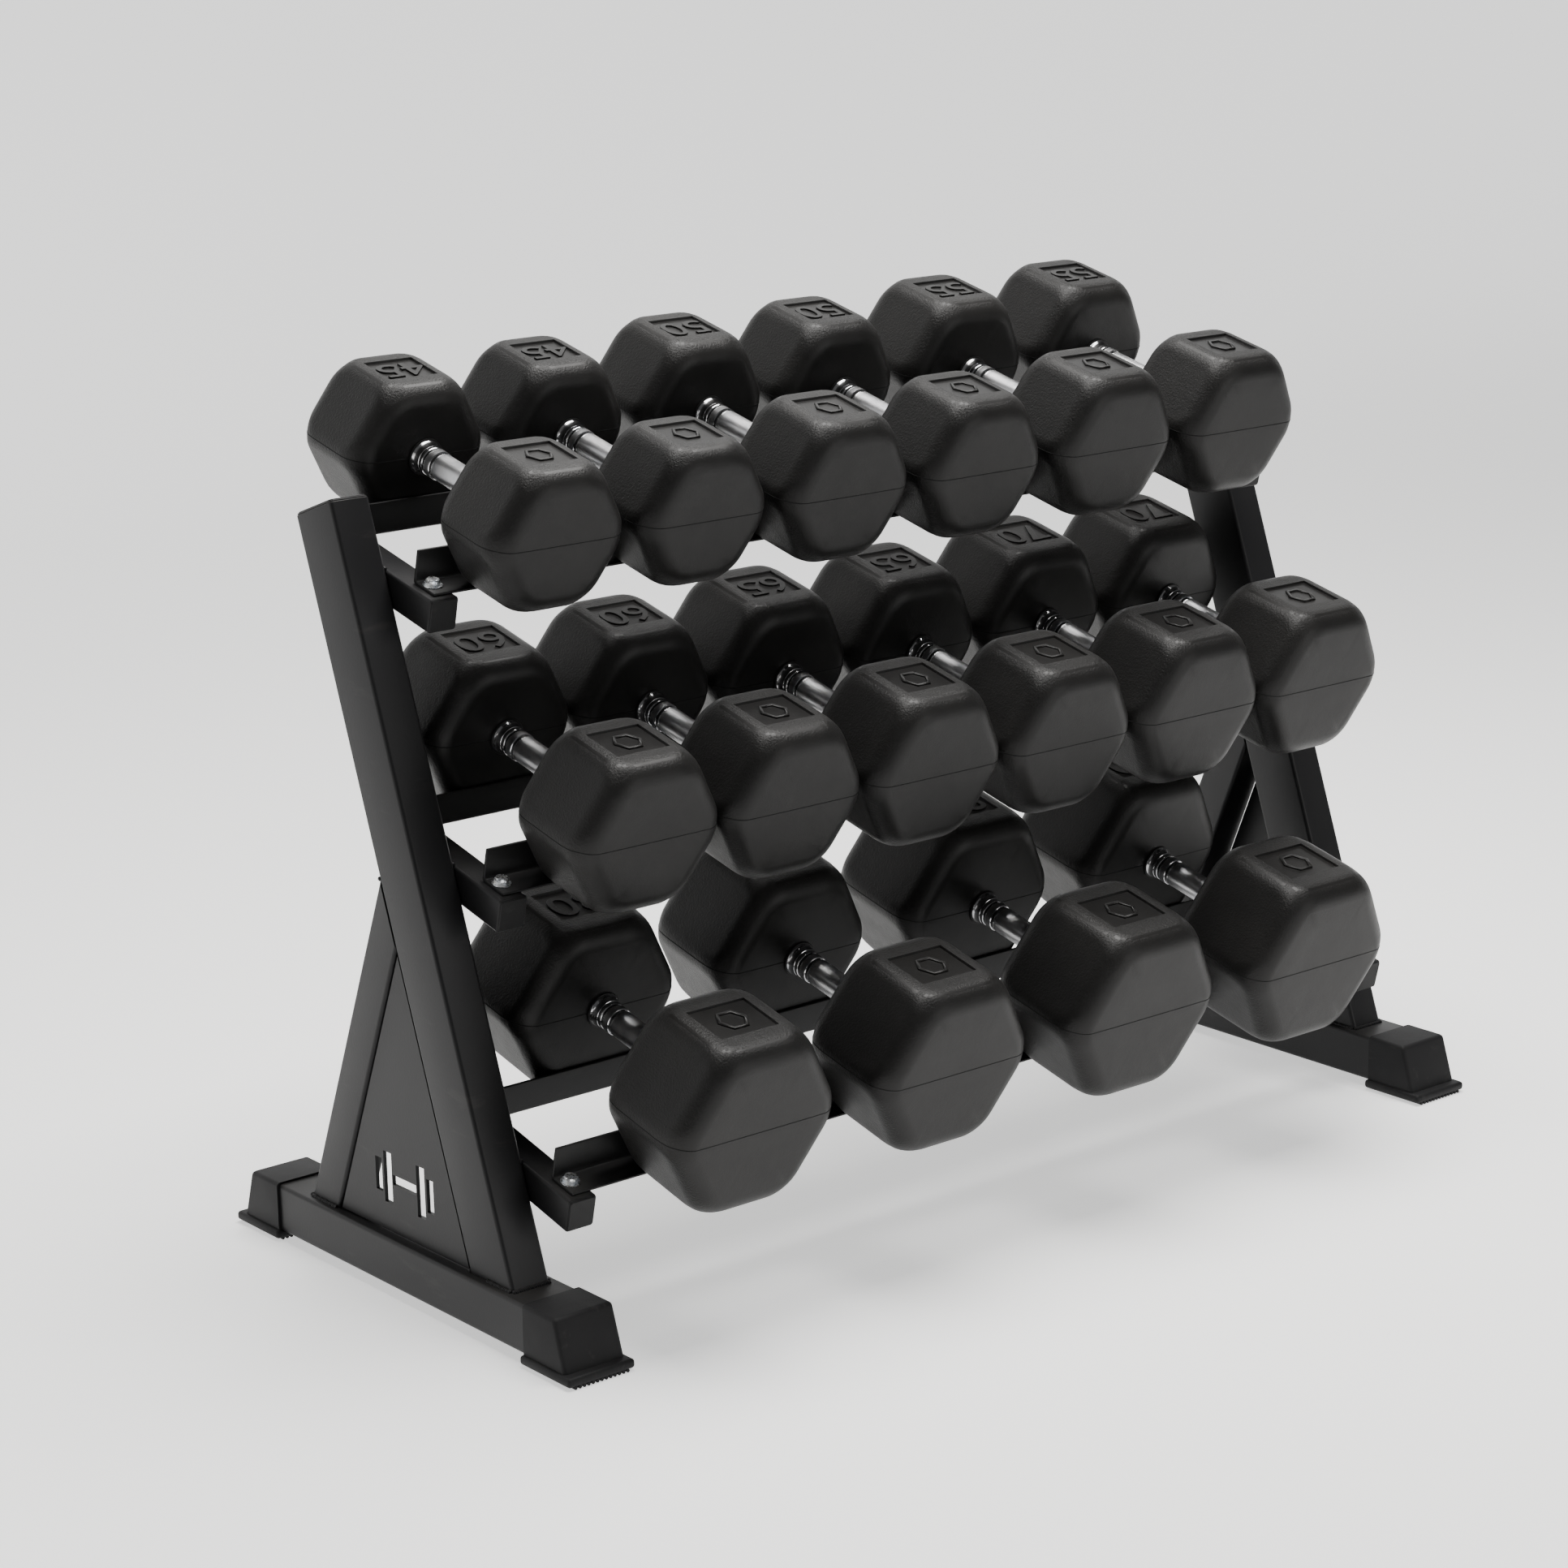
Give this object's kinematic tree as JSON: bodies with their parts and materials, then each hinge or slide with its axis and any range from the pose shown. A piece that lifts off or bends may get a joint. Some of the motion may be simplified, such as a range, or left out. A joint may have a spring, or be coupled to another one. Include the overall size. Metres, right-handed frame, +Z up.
{
  "type": "dumbbell rack",
  "caption": "Three-tier sloping dumbbell rack with leaning side frames and angle rails, loaded with rubber hex dumbbells with knurled handles.",
  "frame": {"origin": "on the floor under the middle of the loaded rack", "axes": "+Z up, -Y towards the user, +X along the rack to the user's right"},
  "size_m": [1.2852, 0.6745, 0.943],
  "materials": {
    "powder_coat": "satin",
    "zinc": "bright zinc plated",
    "chromed_bar": "knurled and chromed",
    "rubber": "matte, finely pebbled",
    "black_plastic": "matte"
  },
  "bodies": {
    "rack": {"base_tube_left": "powder_coat", "base_tube_right": "powder_coat", "post_left": "powder_coat", "post_right": "powder_coat", "brace_left": "powder_coat", "brace_right": "powder_coat", "gusset_left": "powder_coat", "gusset_right": "powder_coat", "arm_top_left": "powder_coat", "arm_top_right": "powder_coat", "arm_middle_left": "powder_coat", "arm_middle_right": "powder_coat", "arm_bottom_left": "powder_coat", "arm_bottom_right": "powder_coat", "rail_top_front": "powder_coat", "rail_top_rear": "powder_coat", "rail_middle_front": "powder_coat", "rail_middle_rear": "powder_coat", "rail_bottom_front": "powder_coat", "rail_bottom_rear": "powder_coat", "feet_front": "black_plastic", "feet_rear": "black_plastic", "post_caps": "black_plastic", "arm_plugs": "black_plastic", "rail_bolts": "zinc", "rail_washers": "zinc", "rail_nuts": "zinc", "welds": "powder_coat"},
    "dumbbell_top_1": {"coats_top_1": "rubber", "bar_top_1": "chromed_bar"},
    "dumbbell_top_2": {"coats_top_2": "rubber", "bar_top_2": "chromed_bar"},
    "dumbbell_top_3": {"coats_top_3": "rubber", "bar_top_3": "chromed_bar"},
    "dumbbell_top_4": {"coats_top_4": "rubber", "bar_top_4": "chromed_bar"},
    "dumbbell_top_5": {"coats_top_5": "rubber", "bar_top_5": "chromed_bar"},
    "dumbbell_top_6": {"coats_top_6": "rubber", "bar_top_6": "chromed_bar"},
    "dumbbell_middle_1": {"coats_middle_1": "rubber", "bar_middle_1": "chromed_bar"},
    "dumbbell_middle_2": {"coats_middle_2": "rubber", "bar_middle_2": "chromed_bar"},
    "dumbbell_middle_3": {"coats_middle_3": "rubber", "bar_middle_3": "chromed_bar"},
    "dumbbell_middle_4": {"coats_middle_4": "rubber", "bar_middle_4": "chromed_bar"},
    "dumbbell_middle_5": {"coats_middle_5": "rubber", "bar_middle_5": "chromed_bar"},
    "dumbbell_middle_6": {"coats_middle_6": "rubber", "bar_middle_6": "chromed_bar"},
    "dumbbell_bottom_1": {"coats_bottom_1": "rubber", "bar_bottom_1": "chromed_bar"},
    "dumbbell_bottom_2": {"coats_bottom_2": "rubber", "bar_bottom_2": "chromed_bar"},
    "dumbbell_bottom_3": {"coats_bottom_3": "rubber", "bar_bottom_3": "chromed_bar"},
    "dumbbell_bottom_4": {"coats_bottom_4": "rubber", "bar_bottom_4": "chromed_bar"}
  },
  "joints": [
    {"name": "lift_top_1", "type": "slide", "parent": "rack", "child": "dumbbell_top_1", "axis": [0, -0.2419, 0.9703], "range_m": [0, 0.18]},
    {"name": "lift_top_2", "type": "slide", "parent": "rack", "child": "dumbbell_top_2", "axis": [0, -0.2419, 0.9703], "range_m": [0, 0.18]},
    {"name": "lift_top_3", "type": "slide", "parent": "rack", "child": "dumbbell_top_3", "axis": [0, -0.2419, 0.9703], "range_m": [0, 0.18]},
    {"name": "lift_top_4", "type": "slide", "parent": "rack", "child": "dumbbell_top_4", "axis": [0, -0.2419, 0.9703], "range_m": [0, 0.18]},
    {"name": "lift_top_5", "type": "slide", "parent": "rack", "child": "dumbbell_top_5", "axis": [0, -0.2419, 0.9703], "range_m": [0, 0.18]},
    {"name": "lift_top_6", "type": "slide", "parent": "rack", "child": "dumbbell_top_6", "axis": [0, -0.2419, 0.9703], "range_m": [0, 0.18]},
    {"name": "lift_middle_1", "type": "slide", "parent": "rack", "child": "dumbbell_middle_1", "axis": [0, -0.2419, 0.9703], "range_m": [0, 0.06]},
    {"name": "lift_middle_2", "type": "slide", "parent": "rack", "child": "dumbbell_middle_2", "axis": [0, -0.2419, 0.9703], "range_m": [0, 0.06]},
    {"name": "lift_middle_3", "type": "slide", "parent": "rack", "child": "dumbbell_middle_3", "axis": [0, -0.2419, 0.9703], "range_m": [0, 0.06]},
    {"name": "lift_middle_4", "type": "slide", "parent": "rack", "child": "dumbbell_middle_4", "axis": [0, -0.2419, 0.9703], "range_m": [0, 0.06]},
    {"name": "lift_middle_5", "type": "slide", "parent": "rack", "child": "dumbbell_middle_5", "axis": [0, -0.2419, 0.9703], "range_m": [0, 0.06]},
    {"name": "lift_middle_6", "type": "slide", "parent": "rack", "child": "dumbbell_middle_6", "axis": [0, -0.2419, 0.9703], "range_m": [0, 0.06]},
    {"name": "lift_bottom_1", "type": "slide", "parent": "rack", "child": "dumbbell_bottom_1", "axis": [0, -0.2419, 0.9703], "range_m": [0, 0.045]},
    {"name": "lift_bottom_2", "type": "slide", "parent": "rack", "child": "dumbbell_bottom_2", "axis": [0, -0.2419, 0.9703], "range_m": [0, 0.045]},
    {"name": "lift_bottom_3", "type": "slide", "parent": "rack", "child": "dumbbell_bottom_3", "axis": [0, -0.2419, 0.9703], "range_m": [0, 0.045]},
    {"name": "lift_bottom_4", "type": "slide", "parent": "rack", "child": "dumbbell_bottom_4", "axis": [0, -0.2419, 0.9703], "range_m": [0, 0.045]}
  ]
}
